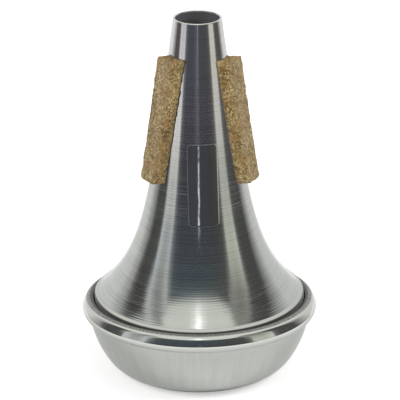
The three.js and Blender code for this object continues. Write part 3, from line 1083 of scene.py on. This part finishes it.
def makeCement(side, place, shape, seed):
    long, wide = corkShape["length"] / 2, corkShape["width"] / 2
    middle, columns = stripMiddle(place), shape["columns"]
    spread, ragged = shape["edges"][side]
    under, swell, bottom = shape["under"], shape["swell"], shape["bottom"]
    rows, width = round(2 * long / shape["step"]), len(columns)

    def reach(spot, which):
        # which is 1 or 2 for the sides, 3 or 4 for the ends
        (first, second), (firstShift, secondShift) = shape["waves"], shape["sideShifts"]
        wave = noise.noise(Vector((spot / first, which * firstShift + seed, 0)))
        wave += shape["fineWave"] * noise.noise(Vector((spot / second, which * secondShift, seed)))
        return spread + ragged * wave

    low, high = -long - reach(0, 3) * shape["endShare"], long + reach(9, 4) * shape["endShare"]
    tops, bottoms, faces = [], [], []
    for i in range(rows + 1):
        along = 2 * i / rows - 1
        height = (low + high) / 2 + along * (high - low) / 2
        for share in columns:
            across = share * (wide + reach(height, 1 if share > 0 else 2))
            outside = max(abs(across) - wide, abs(height) - long, 0)
            rim = max(abs(share), abs(along))
            lift = under + (swell - under) * clamp(outside / shape["swellWithin"])
            if rim == 1:
                lift = shape["rimLift"]
            elif rim > shape["rimFrom"]:
                lift *= shape["rimShare"]
            tops.append(stripSpot(place, middle + height, lift, across, lift, swell * 2))
            bottoms.append(stripSpot(place, middle + height, bottom, across, bottom, swell * 2))
    count = len(tops)
    for i in range(rows):
        for j in range(width - 1):
            first = i * width + j
            quad = (first, first + 1, first + width + 1, first + width)
            faces += [quad, tuple(count + k for k in reversed(quad))]
    border = list(range(width)) + [i * width + width - 1 for i in range(1, rows + 1)]
    border += [rows * width + j for j in range(width - 2, -1, -1)]
    border += [i * width for i in range(rows - 1, 0, -1)]
    for first, second in zip(border, border[1:] + border[:1]):
        faces.append((second, first, count + first, count + second))
    return makeSkin("cement" + side, turnTo(place, tops + bottoms), faces, {})


cementLook = {
    # the left strip's cement colours are dark: painted shade along the strip's edge
    "shadedCement": ((0.020, 0.018, 0.015), (0.055, 0.047, 0.034), (0.12, 0.105, 0.075)),
    "paleCement": ((0.10, 0.088, 0.068), (0.17, 0.15, 0.12), (0.30, 0.28, 0.24)),
    "stops": (0.3, 0.55, 0.75),
    "blotches": (800, 4),      # scale and detail
    "roughness": (0.4, 0.35),  # change from blotch to blotch, and the least
    "relief": 0.15 * mm,
}


def makeCementMaterial(name, look):
    material, tree = newMaterial(name)
    blotch = noiseTexture(tree, onPiece(tree), *look["blotches"])["Fac"]
    bump = newNode(tree, "ShaderNodeBump", {"Height": blotch, "Distance": look["relief"]})
    setOutput(tree, newNode(tree, "ShaderNodeBsdfPrincipled", {
        "Base Color": ramp(tree, blotch, list(zip(look["stops"], look[name]))),
        "Roughness": timesPlus(tree, blotch, *look["roughness"]), "Normal": bump.outputs[0],
    }))
    return material


corkMaterial = makeCorkMaterial(corkLook)
shadedCement = makeCementMaterial("shadedCement", cementLook)
paleCement = makeCementMaterial("paleCement", cementLook)
glued = []
for number, (side, place) in enumerate(corkPlaces.items()):
    strip = makeCork(side, place, corkShape, corkShape["seed"] + corkShape["nextSeed"] * number)
    strip.data.materials.append(corkMaterial)
    layer = makeCement(side, place, cementShape, cementShape["seed"] + cementShape["nextSeed"] * number)
    # the left sheet takes the dark copy, painted shade
    layer.data.materials.append(shadedCement if side == "Left" else paleCement)
    strip.visible_glossy = layer.visible_glossy = False   # the satin metal hardly mirrors the strips
    glued.append((strip, "cork_strip_" + side.lower(), "cork"))
    glued.append((layer, "cork_cement_" + side.lower(), "dried_cement"))
print("cork glued on")


# clear label: bare film on the front of the flare
labelShape = {
    "belowRim": 51.8 * mm,
    "length": 35.2 * mm,
    "width": 13.4 * mm,         # seen from the front
    "corner": 1.6 * mm,
    "off": 0.03 * mm,           # metal to film
    "film": 0.12 * mm,
    "border": 0.15 * mm,        # milky cut edge
    "edgeThinned": 0.55,        # share of the film's thickness that is left at its edge
    "ripple": 0.016 * mm,
    # each ripple's length across and up, where it starts, and its strength
    "ripples": ((4.5 * mm, 5.5 * mm, 4.2, 1), (2 * mm, 2.2 * mm, 8, 0.4)),
    "step": 0.5 * mm,
}


def makeLabel(shape):
    half, corner, inset = shape["width"] / 2, shape["corner"], shape["border"]
    top = rimHeight - shape["belowRim"]
    low = top - shape["length"]
    middle = (top + low) / 2
    coreX, coreZ = half - corner, (top - low) / 2 - corner   # the round corners turn about here
    columns, rows = round(shape["width"] / shape["step"]), round(shape["length"] / shape["step"])
    form = bmesh.new()

    def onFilm(x, z, lift):
        wave = 0
        for across, upwards, start, amount in shape["ripples"]:
            wave += amount * noise.noise(Vector((x / across, z / upwards, start)))
        radius = flareRadius(z) + shape["off"] + lift + shape["ripple"] * wave
        return form.verts.new((x, -math.sqrt(radius ** 2 - x ** 2), z))

    def joinRings(first, second):
        for k in range(len(first)):
            after = (k + 1) % len(first)
            form.faces.new((first[k], second[k], second[after], first[after])).material_index = 1

    grid = {}
    for i in range(columns + 1):
        for j in range(rows + 1):
            x = (2 * i / columns - 1) * (half - inset)
            z = low + inset + (top - low - 2 * inset) * j / rows
            pastX, pastZ = abs(x) - coreX, abs(z - middle) - coreZ
            if pastX > 0 and pastZ > 0:
                # corners are drawn in to the round outline
                reach = max(pastX, pastZ) / math.hypot(pastX, pastZ)
                x = math.copysign(coreX + pastX * reach, x)
                z = middle + math.copysign(coreZ + pastZ * reach, z - middle)
            grid[i, j] = (x, z)
    edge = [(i, 0) for i in range(columns)] + [(columns, j) for j in range(rows)]
    edge += [(i, rows) for i in range(columns, 0, -1)] + [(0, j) for j in range(rows, 0, -1)]
    outers = []
    for lift in (shape["film"], 0.0):
        # the field of the film's face or back, then its milky border
        verts = {key: onFilm(x, z, lift) for key, (x, z) in grid.items()}
        for i in range(columns):
            for j in range(rows):
                form.faces.new((verts[i, j], verts[i + 1, j], verts[i + 1, j + 1], verts[i, j + 1]))
        outer = []
        for key in edge:
            x, z = grid[key]
            core = Vector((clamp(x, -coreX, coreX), clamp(z, middle - coreZ, middle + coreZ)))
            spot = Vector((x, z)) + (Vector((x, z)) - core).normalized() * inset
            outer.append(onFilm(spot.x, spot.y, lift * shape["edgeThinned"]))
        joinRings([verts[key] for key in edge], outer)
        outers.append(outer)
    joinRings(*outers)
    bmesh.ops.recalc_face_normals(form, faces=form.faces)
    mesh = bpy.data.meshes.new("labelFilm")
    form.to_mesh(mesh)
    form.free()
    mesh.polygons.foreach_set("use_smooth", [True] * len(mesh.polygons))
    return linkObject("labelFilm", mesh)


filmLook = {
    "mirror": 0.85,             # share of sharp reflection, the rest shows the metal under it
    "mirrorColor": (0.74, 0.705, 0.66),
    "tint": (0.93, 0.94, 0.97),
    "smears": (260, 3),         # scale and detail
    "roughness": (0.05, 0.05),  # change from smear to smear, and the least
    "lean": 0.050,              # the film's face leans up by this slope, less near its lower end
    "leanFrom": 6 * mm,
    "edge": (0.19, 0.195, 0.20),
    "edgeDim": 0.6,             # share of that colour in its dimmest specks
    "edgeScale": 500,
    "edgeStops": (0.35, 0.65),
    "edgeRoughness": 0.3,
}


def makeFilmMaterial(look, shape):
    material, tree = newMaterial("clearFilm")
    place = onPiece(tree)
    raised = minus(tree, split(tree, place)[2], rimHeight - shape["belowRim"] - shape["length"])
    raised = mathNode(tree, "SQRT", timesPlus(tree, raised, raised, look["leanFrom"] ** 2))
    bump = newNode(tree, "ShaderNodeBump", {"Height": times(tree, raised, -look["lean"]), "Distance": 1})
    smear = noiseTexture(tree, place, *look["smears"])["Fac"]
    gloss = newNode(tree, "ShaderNodeBsdfAnisotropic", {
        "Color": look["mirrorColor"], "Roughness": timesPlus(tree, smear, *look["roughness"]),
        "Normal": bump.outputs[0],
    })
    clear = newNode(tree, "ShaderNodeBsdfTransparent", {"Color": look["tint"]})
    both = (look["mirror"], clear.outputs[0], gloss.outputs[0])
    setOutput(tree, newNode(tree, "ShaderNodeMixShader", both))
    return material


def makeFilmEdge(look):
    material, tree = newMaterial("filmEdge")
    speck = noiseTexture(tree, onPiece(tree), look["edgeScale"])["Fac"]
    dim = np.multiply(look["edge"], look["edgeDim"])
    tone = ramp(tree, speck, list(zip(look["edgeStops"], (dim, look["edge"]))))
    values = {"Base Color": tone, "Roughness": look["edgeRoughness"]}
    setOutput(tree, newNode(tree, "ShaderNodeBsdfPrincipled", values))
    return material


labelFilm = makeLabel(labelShape)
labelFilm.data.materials.append(makeFilmMaterial(filmLook, labelShape))
labelFilm.data.materials.append(makeFilmEdge(filmLook))
print("label laid on")

shells = [(spunBody, "body_shell", "spun_body"), (rolledBowl, "end_bowl", "polished_bowl")]
for piece, node, slot in shells + glued + [(labelFilm, "clear_label", "clear_film")]:
    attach(piece, "root")
    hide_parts(node)
